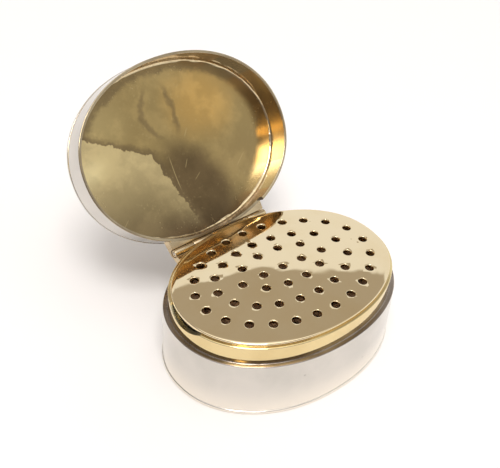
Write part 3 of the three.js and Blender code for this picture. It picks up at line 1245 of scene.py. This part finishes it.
@dataclass
class BoxBody:
    """The box itself: base, wall, bezel and the solder between them."""

    outline: Oval = Oval(18.0, 13.6)
    height: float = 9.0
    base_thickness: float = 0.55
    base_overhang: float = 0.12
    base_margin: float = 3.0
    base_radii: tuple[float, float] = (0.12, 0.18)
    base_hollow: tuple[tuple[float, float], ...] = ((0.35, 0.04), (0.7, 0.02))
    base_top_share: float = 0.5
    wall_foot_radius: float = 0.05
    wall_top_radius: float = 0.13
    wall_hammering: Hammering = Hammering(0.012, 6.0, 3.1)
    ledge: float = 0.69
    bezel_thickness: float = 0.7
    bezel_top: float = 11.7
    bezel_radii: tuple[float, float] = (0.14, 0.1)
    bezel_middle: float = 4.0
    bezel_hammering: Hammering = Hammering(0.012, 5.0, 7.7)
    notch_length: float = 7.2
    notch_depth: float = 1.0
    notch_offset: float = 0.7
    notch_sides: int = 288
    notch_clean: float = 0.16
    solder: float = 0.16
    solder_lap: float = 0.005
    solder_root: float = 0.1
    solder_steps: int = 6
    solder_hammering: Hammering = Hammering(0.05, 1.6, 12.3)
    skin: float = 0.05
    ledge_level: float = 0.8
    notch_level: float = 0.5

    @property
    def bezel_outline(self) -> Oval:
        """The bezel's outer face."""
        return self.outline.inset(self.ledge)

    @property
    def well(self) -> Oval:
        """The bezel's inner face."""
        return self.bezel_outline.inset(self.bezel_thickness)

    def build_base(self) -> Object:
        """Builds a flat sheet with softened edges and a slightly hollow underside.

        Returns:
            The new piece.
        """
        foot = self.outline.inset(-self.base_overhang)
        rings = [(foot.scaled(share), rise) for share, rise in self.base_hollow]
        rings += edge_rings(
            foot, sheet_corners(self.base_margin, 0.0, self.base_thickness, *self.base_radii),
        )
        rings.append((foot.scaled(self.base_top_share), self.base_thickness))
        piece = raise_ovals("box_base", rings, hollow=False)
        smooth(piece)
        return piece

    def build_wall(self) -> Object:
        """Builds a band of sheet with a softened top edge and a ledge painted darker, partly tarnish and
        partly painted shade at the bezel's foot.

        Returns:
            The new piece.
        """
        piece = raise_band(
            "box_wall", self.outline,
            [
                Corner(0.0, self.base_thickness, self.wall_foot_radius),
                Corner(0.0, self.height / 3), Corner(0.0, self.height * 2 / 3),
                Corner(0.0, self.height, self.wall_top_radius), Corner(self.ledge, self.height),
                Corner(self.ledge, self.base_thickness),
            ],
        )
        self.wall_hammering.work(piece)
        top = self.height - self.skin
        # The ledge's faces take the dark finish: tarnish and painted shade under the bezel.
        paint_faces(piece, lambda middle, normal: middle.z > top and normal.z > self.ledge_level)
        smooth(piece)
        return piece

    def build_bezel(self) -> Object:
        """Builds a gilt band with a scoop for a fingernail at its left end.

        Returns:
            The new piece.
        """
        outer_radius, inner_radius = self.bezel_radii
        inside = self.bezel_thickness
        piece = raise_band(
            "gilt_bezel", self.bezel_outline,
            [
                Corner(0.0, self.base_thickness), Corner(0.0, self.height),
                Corner(0.0, self.bezel_top, outer_radius), Corner(inside, self.bezel_top, inner_radius),
                Corner(inside, self.bezel_middle), Corner(inside, self.base_thickness),
            ],
        )
        radius = (self.notch_length**2 / 4 + self.notch_depth**2) / (2 * self.notch_depth)
        axis_height = self.bezel_top - self.notch_depth + radius
        centre = Vector((-self.outline.half_x, self.notch_offset, axis_height))
        deselect_all()
        bpy.ops.mesh.primitive_cylinder_add(
            vertices=self.notch_sides, radius=radius * MM, depth=self.outline.half_x * MM,
            location=centre * MM, rotation=(0, math.pi / 2, 0),
        )
        cut(piece, take_name("scoop"))
        weld(piece)
        self.bezel_hammering.work(piece)
        top = self.bezel_top - self.notch_clean

        def in_notch(middle: Vector, normal: Vector) -> bool:
            """Whether a face is part of the scoop's cut."""
            return middle.x < 0 and self.height < middle.z < top and normal.z > self.notch_level

        paint_faces(piece, in_notch)
        smooth(piece)
        return piece

    def build_solder(self) -> Object:
        """Builds the thin uneven fillet where the bezel meets the ledge.

        Returns:
            The new piece.
        """
        wall = self.bezel_outline
        face = wall.inset(-self.solder_lap)
        rings = solder_face(face, self.height - self.solder_lap, self.solder, -1, self.solder_steps)
        root, sunk = wall.inset(self.solder_root), self.height - self.skin
        rings += [(root, self.height + self.solder), (root, sunk), (wall.inset(-self.solder), sunk)]
        return raise_solder("bezel_solder", rings, self.solder_hammering)

    def build(self, finishes: Finishes) -> None:
        """Builds and dresses every piece of the box.

        Args:
            finishes: The finishes.
        """
        dress = finishes.dress
        dress(self.build_base(), Body.BOX, Slot.SILVER, ["base_plate"], Look.SILVER)
        dress(self.build_wall(), Body.BOX, Slot.SILVER, ["body_wall"], Look.SILVER, Look.LEDGE_TARNISH_AND_SHADE)
        dress(self.build_bezel(), Body.BOX, Slot.GILT, ["bezel"], Look.BEZEL_GILT, Look.NOTCH_STAIN)
        # The solder takes the ledge's dark finish: tarnish and painted shade.
        dress(self.build_solder(), Body.BOX, Slot.GILT, [], Look.LEDGE_TARNISH_AND_SHADE)


@dataclass(frozen=True)
class HoleRing:
    """A ring of holes on a turned ellipse, spaced by hand.

    The place of the first hole and the drift, which is how far the pitch strays from even, are
    shares of the way round.
    """

    holes: int
    from_end: float
    from_side: float
    middle: tuple[float, float]
    turn_degrees: float
    first: float
    drift: float
    drift_degrees: float
    divisions: int = 3600

    def centres(self, plate: Oval) -> list[tuple[float, float]]:
        """Finds the holes' centres.

        Args:
            plate: The grille's outline.

        Returns:
            Points as x and y.
        """
        half_x, half_y = plate.half_x - self.from_end, plate.half_y - self.from_side
        angles = spread(0.0, 2 * math.pi, self.divisions)
        track = [Vector((half_x * math.cos(angle), half_y * math.sin(angle))) for angle in angles]
        run = [0.0]
        for last, here in pairwise(track):
            run.append(run[-1] + (here - last).length)
        turn = Matrix.Rotation(math.radians(self.turn_degrees), 2)
        found = []
        for hole in range(self.holes):
            even = hole / self.holes
            wave = math.sin(2 * math.pi * even + math.radians(self.drift_degrees))
            goal = run[-1] * ((self.first + even + self.drift * wave) % 1)
            place = turn @ track[bisect(run, goal)]
            found.append((self.middle[0] + place.x, self.middle[1] + place.y))
        return found


@dataclass
class Grille:
    """The pierced plate and the skirt that holds it in the bezel."""

    box: BoxBody
    edge_inset: float = 0.4
    edge: SheetEdge = SheetEdge(0.08, 0.15, 0.6, 24, 22)
    thickness: float = 0.45
    crown: float = 0.6
    sag: float = 0.0013
    hammering: Hammering = Hammering(0.02, 4.2, 21.7)
    hole_radius: float = 0.6
    hole_sides: int = 40
    drill_length: float = 1.2
    rim_width: float = 0.1
    rim_depth: float = 0.28
    rim_steps: int = 8
    rim_sweep_degrees: float = 85.0
    flare: float = 0.3
    flare_degrees: float = 15.0
    skirt_clearance: float = 0.1
    skirt_thickness: float = 0.35
    skirt_depth: float = 1.5
    skirt_lap: float = 0.02
    skirt_radius: float = 0.08
    row_spacing: float = 3.33
    row_middle: tuple[float, float] = (0.02, 0.2)
    row_turn_degrees: float = -4.0
    hole_rings: list[HoleRing] = field(
        default_factory=lambda: [
            HoleRing(23, 2.91, 2.9, (0.18, -0.03), -2.0, 0.376, 0.0044, 110.0),
            HoleRing(17, 6.28, 6.08, (-0.01, 0.15), -4.9, 0.373, 0.0091, 129.0),
            HoleRing(10, 9.91, 8.99, (0.1, 0.5), -3.7, 0.4, 0.0092, 40.0),
        ]
    )

    @property
    def outline(self) -> Oval:
        """The plate's outline, within the bezel's."""
        return self.box.bezel_outline.inset(self.edge_inset)

    def rise(self, x: float, y: float) -> float:
        """How far the crown lifts the plate over its edge at a point."""
        return self.crown * max(1 - self.outline.reach(x, y) ** 2, 0)

    def hole_centres(self) -> list[tuple[float, float]]:
        """Finds the centres of all the holes: three rings and a row of three.

        Returns:
            Points as x and y.
        """
        centres = [centre for ring in self.hole_rings for centre in ring.centres(self.outline)]
        turn = math.radians(self.row_turn_degrees)
        x, y = self.row_middle
        for along in (-self.row_spacing, 0.0, self.row_spacing):
            centres.append((x + along * math.cos(turn), y + along * math.sin(turn)))
        return centres

    def drill_profile(self) -> list[tuple[float, float]]:
        """Draws a drill's side: straight, then flaring into a soft rim.

        Returns:
            Points as radius and height over the plate.
        """
        profile = [(self.hole_radius, -self.drill_length)]
        for degrees in spread(180, 180 - self.rim_sweep_degrees, self.rim_steps):
            angle = math.radians(degrees)
            reach = self.hole_radius + self.rim_width * (1 + math.cos(angle))
            profile.append((reach, self.rim_depth * (math.sin(angle) - 1)))
        reach, height = profile[-1]
        lip = height + self.flare * math.tan(math.radians(self.flare_degrees))
        profile += [(reach + self.flare, lip), (reach + self.flare, lip + self.flare)]
        return profile

    def build_drill(self) -> Object:
        """Builds the shape that one hole takes out.

        Returns:
            The drill, on the vertical axis.
        """
        drill = add_circle("drill", self.hole_sides, "NGON", self.hole_radius * MM)
        profile = self.drill_profile()
        with editing(drill, "FACE"):
            bpy.ops.transform.translate(value=(0, 0, profile[0][1] * MM))
            for (reach, height), (next_reach, next_height) in pairwise(profile):
                growth = (next_reach / reach, next_reach / reach, 1)
                rise = (0, 0, (next_height - height) * MM)
                bpy.ops.mesh.extrude_region_move(TRANSFORM_OT_translate={"value": rise})
                bpy.ops.transform.resize(value=growth, center_override=(0, 0, next_height * MM))
        weld(drill)
        return drill

    def build_drills(self) -> Object:
        """Builds a copy of the drill at every hole, leaning with the crown.

        Returns:
            The drills, joined into one cutter.
        """
        drill = self.build_drill()
        copies = []
        for x, y in self.hole_centres():
            copy = duplicate(drill)
            lean_x = -2 * self.crown * y / self.outline.half_y**2
            lean_y = 2 * self.crown * x / self.outline.half_x**2
            top = Vector((x, y, self.box.bezel_top + self.thickness + self.rise(x, y)))
            lean = Euler((lean_x, lean_y, 0)).to_matrix().to_4x4()
            copy.matrix_world = Matrix.Translation(top * MM) @ lean
            copies.append(copy)
        bpy.data.objects.remove(drill)
        deselect_all()
        for copy in copies:
            copy.select_set(True)
        bpy.context.view_layer.objects.active = copies[0]
        bpy.ops.object.join()
        joined = bpy.context.object
        settle(joined)
        return joined

    def build_plate(self) -> Object:
        """Builds a crowned plate with softened edges, which is pierced and sinks to the back.

        Returns:
            The new piece.
        """
        rings = self.edge.rings(self.outline, 0.0, self.thickness)
        seat = self.box.bezel_top
        crowned = [(oval, seat + height + self.rise(oval.half_x, 0)) for oval, height in rings]
        piece = raise_ovals("pierced_grille", crowned, hollow=False)
        cut(piece, self.build_drills())
        for vertex in piece.data.vertices:
            back = max(vertex.co.y / MM, 0)
            vertex.co.z -= self.sag * back**2 * MM
        weld(piece)
        self.hammering.work(piece)
        smooth(piece)
        return piece

    def build_skirt(self) -> Object:
        """Builds a band under the plate.

        Returns:
            The new piece.
        """
        bottom, top = self.box.bezel_top - self.skirt_depth, self.box.bezel_top + self.skirt_lap
        piece = raise_band(
            "grille_skirt_band", self.box.well.inset(self.skirt_clearance),
            band_corners(0.0, self.skirt_thickness, bottom, top, self.skirt_radius),
        )
        smooth(piece)
        return piece

    def build(self, finishes: Finishes) -> None:
        """Builds and dresses both pieces."""
        finishes.dress(self.build_plate(), Body.GRILLE, Slot.GILT, ["grille_plate"], Look.GILT)
        finishes.dress(self.build_skirt(), Body.GRILLE, Slot.GILT, ["grille_skirt"], Look.SKIRT_GILT)


@dataclass
class Sponge:
    """The dried sponge in the well. Its pores come in three sizes, each with its depth."""

    box: BoxBody
    clearance: float = 0.3
    height: float = 6.85
    edge_radius: float = 0.9
    edge_steps: int = 6
    margin: float = 2.0
    under_shares: tuple[float, ...] = (0.4, 0.8)
    top_shares: int = 60
    top_kept: int = 50
    pores: tuple[tuple[float, float], ...] = ((2.3, 1.0), (1.15, 0.6), (0.6, 0.3))
    pore_radius: float = 0.42
    pore_depth: float = 0.75
    wander_scale: float = 0.9
    wander: float = 0.5
    wander_seed: int = 7
    swell_span: float = 4.0
    swell: float = 0.35
    smooth_angle: float = math.radians(70)

    def build_block(self) -> Object:
        """Builds a soft-edged block with enough faces for its pores.

        Returns:
            The new piece.
        """
        outline = self.box.well.inset(self.clearance)
        bottom = self.box.base_thickness
        top = bottom + self.height
        corners = sheet_corners(self.margin, bottom, top, self.edge_radius, self.edge_radius)
        rings = [(outline.scaled(share), bottom) for share in self.under_shares]
        rings += edge_rings(outline, corners, self.edge_steps)
        rings += [(outline.scaled(step / self.top_shares), top) for step in range(self.top_kept, 0, -1)]
        return raise_ovals("dried_sponge", rings, hollow=False)

    def sink(self, place: Vector) -> float:
        """Finds how deep in a pore a place lies.

        Args:
            place: The place in millimetres.

        Returns:
            Its share of the full depth.
        """
        moved = place + noise.noise_vector(place * self.wander_scale) * self.wander
        sunk = 0.0
        for span, share in self.pores:
            distances, _ = noise.voronoi(moved / span)
            sunk = max(sunk, share * max(0.0, 1 - distances[0] / self.pore_radius))
        return min(sunk, 1.0)

    def build_pores(self, piece: Object) -> None:
        """Sinks pores into the block and keeps their depth for the painted shade in the colour.

        Args:
            piece: The block.
        """
        # Vector noise otherwise starts from the clock, and the pores would change with each run.
        noise.seed_set(self.wander_seed)
        depth_by_point = piece.data.attributes.new("pore", "FLOAT", "POINT")
        moves = []
        for vertex in piece.data.vertices:
            place = vertex.co / MM
            sunk = self.sink(place)
            swell = 0.5 + 0.5 * noise.noise(place / self.swell_span)
            moves.append((sunk, sunk * self.pore_depth + swell * self.swell))
        for index, (vertex, (sunk, move)) in enumerate(zip(piece.data.vertices, moves)):
            vertex.co -= vertex.normal * (move * MM)
            depth_by_point.data[index].value = sunk

    def build(self, finishes: Finishes) -> None:
        """Builds and dresses the sponge.

        Args:
            finishes: The finishes.
        """
        piece = self.build_block()
        self.build_pores(piece)
        smooth(piece, self.smooth_angle)
        finishes.dress(piece, Body.BOX, Slot.SPONGE, ["sponge"], Look.SPONGE)


@dataclass
class Hinge:
    """The barrel of five knuckles, its pin and the two leaves that carry it."""

    box: BoxBody
    lid: "Lid"
    line: HingeLine = HingeLine()
    length: float = 17.4
    count: int = 5
    radius: float = 0.55
    gap: float = 0.08
    bore: float = 0.27
    knuckle_radii: tuple[float, float] = (0.03, 0.07)
    knuckle_sides: int = 64
    pin_radius: float = 0.22
    pin_dome: float = 0.1
    pin_core: float = 0.001
    pin_sides: int = 40
    clearance: float = 0.1
    channel_steps: int = 24
    lip: float = 0.4
    stop_degrees: float = 60.0
    stop_gap_degrees: float = 1.2
    seam: float = 0.03
    seam_degrees: float = 2.0
    leaf_slope: float = 0.27
    leaf_bevel: float = 0.05
    leaf_bevel_steps: int = 3
    leaf_bevel_angle: float = math.radians(40)
    leaf_top_gap: float = 0.02
    wall_lap: float = 0.06
    bezel_gap: float = 0.02
    ledge_lap: float = 0.05
    room_margin: float = 1.0
    room_top: float = 14.0

    def channel(self, start: float, end: float) -> list[Vector]:
        """The curve that a leaf is hollowed to under the barrel."""
        return self.line.arc(self.radius + self.clearance, start, end, self.channel_steps)

    def lip_at(self, degrees: float) -> Vector:
        """The outer edge of a leaf's channel."""
        return self.line.place(self.radius + self.clearance + self.lip, degrees)

    def build_leaf(self, name: str, section: list[Vector], room: Rings) -> Object:
        """Builds a leaf with softened edges that fits the wall behind it.

        Args:
            name: The new piece's name.
            section: Its section about the hinge.
            room: The form that the leaf leaves free.

        Returns:
            The new piece.
        """
        leaf = self.line.bar(name, section, self.length / 2)
        cut(leaf, raise_ovals("room", room, hollow=False))
        weld(leaf)
        apply_modifier(
            leaf, "BEVEL", width=self.leaf_bevel * MM, segments=self.leaf_bevel_steps,
            limit_method="ANGLE", angle_limit=self.leaf_bevel_angle,
        )
        smooth(leaf)
        return leaf

    def build_body_leaf(self) -> Object:
        """Builds the wedge from the curved wall out to the barrel.

        Returns:
            The new piece.
        """
        box = self.box
        inwards = -box.outline.half_y / 2
        lip = self.lip_at(-self.stop_degrees)
        section = [
            Vector((inwards, -self.seam)),
            *self.channel(180 + self.seam_degrees, 360 - self.stop_degrees),
            lip, Vector((inwards, lip.y - self.leaf_slope * (lip.x - inwards))),
        ]
        wall, bezel = box.outline.inset(self.wall_lap), box.bezel_outline.inset(-self.bezel_gap)
        ledge = box.height - self.ledge_lap
        room = [(wall, -self.room_margin), (wall, ledge), (bezel, ledge), (bezel, self.room_top)]
        return self.build_leaf("leaf_on_box", section, room)

    def build_lid_leaf(self) -> Object:
        """Builds the matching wedge on the lid, drawn closed.

        Returns:
            The new piece.
        """
        lid = self.lid
        inwards = -lid.outline.half_y / 2
        stop = self.line.open_degrees - self.stop_degrees + self.stop_gap_degrees
        section = [
            Vector((inwards, lid.ceiling - self.leaf_top_gap - self.line.z)), self.lip_at(stop),
            *self.channel(stop, 180 - self.seam_degrees), Vector((inwards, self.seam)),
        ]
        wall = lid.outline.inset(self.wall_lap)
        room = [(wall, 0.0), (wall, lid.ceiling + self.room_margin)]
        return self.build_leaf("leaf_on_lid", section, room)

    def build_knuckle(self) -> Object:
        """Builds one bored tube with softened ends, at the left end of the barrel.

        Returns:
            The new piece.
        """
        start = -self.length / 2 + self.gap / 2
        end = start + self.length / self.count - self.gap
        corners = band_corners(start, end, self.bore, self.radius, *self.knuckle_radii)
        return self.line.turned("knuckle", corners, self.knuckle_sides)

    def build_pin(self) -> Object:
        """Builds a wire whose ends are peened to a low dome.

        Returns:
            The new piece.
        """
        half = self.length / 2 - self.gap / 2
        corners = band_corners(-half, half, self.pin_core, self.pin_radius, 0.0, self.pin_dome)
        return self.line.turned("barrel_pin", corners, self.pin_sides)

    def build(self, finishes: Finishes) -> None:
        """Builds and dresses the leaves, the knuckles and the pin.

        Args:
            finishes: The finishes.
        """
        dress = finishes.dress
        dress(self.build_body_leaf(), Body.BOX, Slot.PARCEL_GILT, ["body_hinge_leaf"], Look.RUBBED_GILT)
        leaf = self.build_lid_leaf()
        self.line.open(leaf)
        dress(leaf, Body.LID, Slot.PARCEL_GILT, ["lid_hinge_leaf"], Look.RUBBED_GILT)
        first = self.build_knuckle()
        for index in range(self.count):
            tube = duplicate(first)
            tube.location.x = index * self.length / self.count * MM
            settle(tube)
            tube.name = f"barrel_tube_{index + 1}"
            tube.data.name = tube.name
            body = Body.LID if index % 2 else Body.BOX
            node = f"{body.value}_knuckle_{index // 2 + 1}"
            dress(tube, body, Slot.PARCEL_GILT, [node], Look.RUBBED_GILT)
        bpy.data.objects.remove(first)
        dress(self.build_pin(), Body.BOX, Slot.PIN, ["hinge_pin"], Look.STEEL)


@dataclass
class Lid:
    """The lid: a flat plate soldered on an oval band, silver outside and gilt inside."""

    box: BoxBody
    seam: float = 0.06
    ceiling: float = 12.85
    plate_thickness: float = 0.45
    plate_overhang: float = 0.08
    plate_edge: SheetEdge = SheetEdge(0.08, 0.18, 0.8, 26, 23)
    plate_hammering: Hammering = Hammering(0.045, 6.5, 31.9)
    wall_thickness: float = 0.45
    rim_radius: float = 0.12
    wall_hammering: Hammering = Hammering(0.015, 5.0, 41.3)
    slot_margin: float = 0.1
    barrel_sides: int = 60
    skin: float = 0.1
    floor_level: float = 0.9
    rim_level: float = 0.5
    fillet: float = 0.45
    fillet_lap: float = 0.01
    fillet_root: float = 0.1
    fillet_steps: int = 8
    fillet_hammering: Hammering = Hammering(0.07, 2.4, 51.1)

    @property
    def outline(self) -> Oval:
        """The band's outer face, flush with the box."""
        return self.box.outline

    def build_plate(self) -> Object:
        """Builds the flat top, whose underside keeps the marks of the planishing hammer.

        Returns:
            The new piece.
        """
        outline = self.outline.inset(-self.plate_overhang)
        rings = self.plate_edge.rings(outline, self.ceiling, self.ceiling + self.plate_thickness)
        piece = raise_ovals("lid_top", rings, hollow=False)
        self.plate_hammering.work(piece)
        top = self.ceiling + self.skin
        paint_faces(piece, lambda middle, normal: middle.z < top and normal.z < -self.floor_level)
        smooth(piece)
        return piece

    def build_wall(self, hinge: Hinge) -> Object:
        """Builds the band, cut away at the back for the barrel and the box's leaf.

        Args:
            hinge: The hinge that needs the room.

        Returns:
            The new piece.
        """
        rim, inside = self.box.height + self.seam, self.wall_thickness
        piece = raise_band(
            "lid_band", self.outline, band_corners(0.0, inside, rim, self.ceiling, self.rim_radius),
        )
        side = hinge.length / 2 + self.slot_margin
        low, high = rim - hinge.room_margin, hinge.line.z + hinge.seam
        deselect_all()
        bpy.ops.mesh.primitive_cube_add(
            size=1, location=Vector((0, self.outline.half_y, (low + high) / 2)) * MM,
            scale=Vector((2 * side, self.outline.half_y / 2, high - low)) * MM,
        )
        cut(piece, take_name("leaf_room"))
        barrel = hinge.line.arc(hinge.radius + hinge.clearance, 0, 360, self.barrel_sides)[:-1]
        cut(piece, hinge.line.bar("barrel_room", barrel, side))
        weld(piece)
        self.wall_hammering.work(piece)
        middle_line = self.outline.inset(inside / 2)

        def slot_of(middle: Vector, normal: Vector) -> int:
            """The stained rim, the gilt inside or the silver outside."""
            inner = middle_line.reach(middle.x, middle.y) < 1
            return 2 if normal.z < -self.rim_level else int(inner)

        paint_faces(piece, slot_of)
        smooth(piece)
        return piece

    def build_fillet(self) -> Object:
        """Builds the hollow run of solder in the corner between the plate and the band.

        Returns:
            The new piece.
        """
        wall = self.outline.inset(self.wall_thickness - self.fillet_lap)
        rings = solder_face(wall, self.ceiling + self.fillet_lap, self.fillet, 1, self.fillet_steps)
        root, sunk = wall.inset(-self.fillet_root), self.ceiling + self.fillet_root
        rings += [(root, self.ceiling - self.fillet), (root, sunk), (wall.inset(self.fillet), sunk)]
        return raise_solder("lid_solder", rings, self.fillet_hammering)

    def build(self, finishes: Finishes, hinge: Hinge) -> None:
        """Builds the lid closed, turns it open and dresses it.

        Args:
            finishes: The finishes.
            hinge: The hinge that the band makes room for.
        """
        plate, band, fillet = self.build_plate(), self.build_wall(hinge), self.build_fillet()
        for piece in (plate, band, fillet):
            hinge.line.open(piece)
        dress = finishes.dress
        dress(plate, Body.LID, Slot.PARCEL_GILT, ["lid_plate"], Look.SILVER, Look.LID_FLOOR)
        dress(band, Body.LID, Slot.PARCEL_GILT, ["lid_wall"], Look.SILVER, Look.WORN_GILT, Look.RIM_STAIN)
        dress(fillet, Body.LID, Slot.PARCEL_GILT, [], Look.LID_SOLDER)


@dataclass(frozen=True)
class SkyPatch:
    """A soft-edged area of the studio round the box, by direction in degrees."""

    azimuth: float
    half_width: float
    low: float
    high: float
    shade: tuple[float, float, float]
    side_soft: float
    level_soft: float
    ragged: float = 0.0
    ragged_scale: float = 9.0
    ragged_detail: float = 3.0

    def mask(self, wires: Wiring, way: NodeSocket) -> NodeSocket:
        """Finds how much of the patch lies in a direction.

        Args:
            wires: The wiring of the sky.
            way: The direction.

        Returns:
            A share from 0 to 1.
        """
        parts = wires.parts(wires.rotate(way, "Z", -self.azimuth))
        side = wires.math("ABSOLUTE", wires.math("ARCTAN2", parts[1], parts[0]))
        level = wires.math("ARCSINE", parts[2])
        if self.ragged:
            wander = wires.minus(wires.noise(way, self.ragged_scale, self.ragged_detail), 0.5)
            level = wires.math("ADD", level, wires.times(wander, math.radians(self.ragged)))
        edge, soft = math.radians(self.half_width), math.radians(self.side_soft)
        low, high, blur = (math.radians(angle) for angle in (self.low, self.high, self.level_soft))
        mask = wires.ramp(side, edge + soft, edge - soft)
        mask = wires.times(mask, wires.ramp(level, low - blur, low + blur))
        return wires.times(mask, wires.ramp(level, high + blur, high - blur))


@dataclass
class Studio:
    """A pale floor, soft light all round and the camera at the photograph's angle."""

    azimuth: float = 42.547
    elevation: float = 38.408
    roll: float = 4.146
    distance: float = 132.76
    focal_pixels: float = 893.5
    origin_x: float = 276.82
    origin_y: float = 332.07
    frame_width: float = 500.0
    frame_height: float = 468.0
    sensor: float = 36.0
    near_clip: float = 0.005
    floor_side: float = 3.0
    floor_shade: Rgba = colour(0.91, 0.87, 0.84)
    floor_rough: float = 0.9
    lamp_place: tuple[float, float, float] = (-0.19, -0.23, 0.74)
    lamp_side: float = 0.3
    lamp_watts: float = 2.8
    surround: Rgba = colour(0.95, 0.97, 1.0)
    patches: list[SkyPatch] = field(
        default_factory=lambda: [
            SkyPatch(150.0, 60.0, 2.0, 60.0, (0.32, 0.31, 0.31), 12.0, 6.0),
            SkyPatch(-116.0, 46.0, 8.0, 50.0, (0.23, 0.205, 0.215), 10.0, 5.0),
            SkyPatch(48.0, 85.0, 40.5, 62.0, (0.47, 0.43, 0.375), 18.0, 0.4, 5.6),
            SkyPatch(0.0, 200.0, 62.0, 95.0, (1.5, 1.5, 1.52), 5.0, 5.0),
            SkyPatch(-118.0, 45.0, 52.0, 95.0, (1.9, 1.9, 1.9), 10.0, 4.0),
            SkyPatch(-56.0, 10.0, 22.0, 44.0, (0.73, 0.725, 0.69), 5.0, 5.0),
            SkyPatch(-138.0, 4.5, 37.5, 43.5, (9.0, 6.9, 3.3), 2.0, 1.5),
        ]
    )

    def build_camera(self) -> None:
        """Places the camera found from the photograph's outlines."""
        azimuth, elevation, roll = (
            math.radians(angle) for angle in (self.azimuth, self.elevation, self.roll)
        )
        run = math.cos(elevation)
        back = Vector((-math.sin(azimuth) * run, -math.cos(azimuth) * run, math.sin(elevation)))
        level = Vector((math.cos(azimuth), -math.sin(azimuth), 0))
        upright = level.cross(-back)
        right = level * math.cos(roll) + upright * math.sin(roll)
        up = upright * math.cos(roll) - level * math.sin(roll)
        across = (self.origin_x - self.frame_width / 2) / self.focal_pixels * self.distance
        upwards = (self.frame_height / 2 - self.origin_y) / self.focal_pixels * self.distance
        eye = back * self.distance - right * across - up * upwards
        data = bpy.data.cameras.new("photo_camera")
        data.sensor_width = self.sensor
        data.lens = self.focal_pixels * self.sensor / self.frame_width
        data.clip_start = self.near_clip
        camera = bpy.data.objects.new("photo_camera", data)
        bpy.context.collection.objects.link(camera)
        turn = Matrix((right, up, back)).transposed().to_4x4()
        camera.matrix_world = Matrix.Translation(eye * MM) @ turn
        bpy.context.scene.camera = camera

    def build_floor(self) -> None:
        """Lays a plain near-white floor."""
        deselect_all()
        bpy.ops.mesh.primitive_plane_add(size=self.floor_side)
        floor = take_name("floor")
        made = bpy.data.materials.new("pale_floor")
        made.use_nodes = True
        shader = made.node_tree.nodes["Principled BSDF"]
        shader.inputs["Base Color"].default_value = self.floor_shade
        shader.inputs["Roughness"].default_value = self.floor_rough
        floor.data.materials.append(made)

    def build_sky(self) -> None:
        """Lights the box from all round, with darker and brighter areas as in the photo's room."""
        world = bpy.data.worlds.new("studio")
        bpy.context.scene.world = world
        world.use_nodes = True
        world.node_tree.nodes.clear()
        wires = Wiring(world.node_tree)
        way = wires.add("TexCoord").outputs["Generated"]
        shade = self.surround
        for patch in self.patches:
            shade = wires.mix(patch.mask(wires, way), shade, colour(*patch.shade))
        background = wires.add("Background", Color=shade, Strength=1.0)
        wires.add("OutputWorld", Surface=background.outputs[0])

    def build_lamp(self) -> None:
        """Hangs a square soft lamp that is aimed at the box."""
        data = bpy.data.lights.new("overhead", "AREA")
        data.size = self.lamp_side
        data.energy = self.lamp_watts
        lamp = bpy.data.objects.new("overhead", data)
        bpy.context.collection.objects.link(lamp)
        lamp.location = self.lamp_place
        lamp.rotation_euler = (-Vector(self.lamp_place)).to_track_quat("-Z", "Y").to_euler()

    def build(self) -> None:
        """Builds the camera, the floor and the light."""
        self.build_camera()
        self.build_floor()
        self.build_sky()
        self.build_lamp()
        bpy.context.scene.view_settings.view_transform = "Standard"


def main() -> None:
    """Builds the pieces in order, and the studio round them."""
    logging.basicConfig(level=logging.INFO, format="%(name)s: %(message)s")
    finishes = Finishes()
    box = BoxBody()
    lid = Lid(box)
    hinge = Hinge(box, lid)
    box.build(finishes)
    Sponge(box).build(finishes)
    Grille(box).build(finishes)
    hinge.build(finishes)
    lid.build(finishes, hinge)
    Studio().build()


if __name__ == "__main__":
    main()
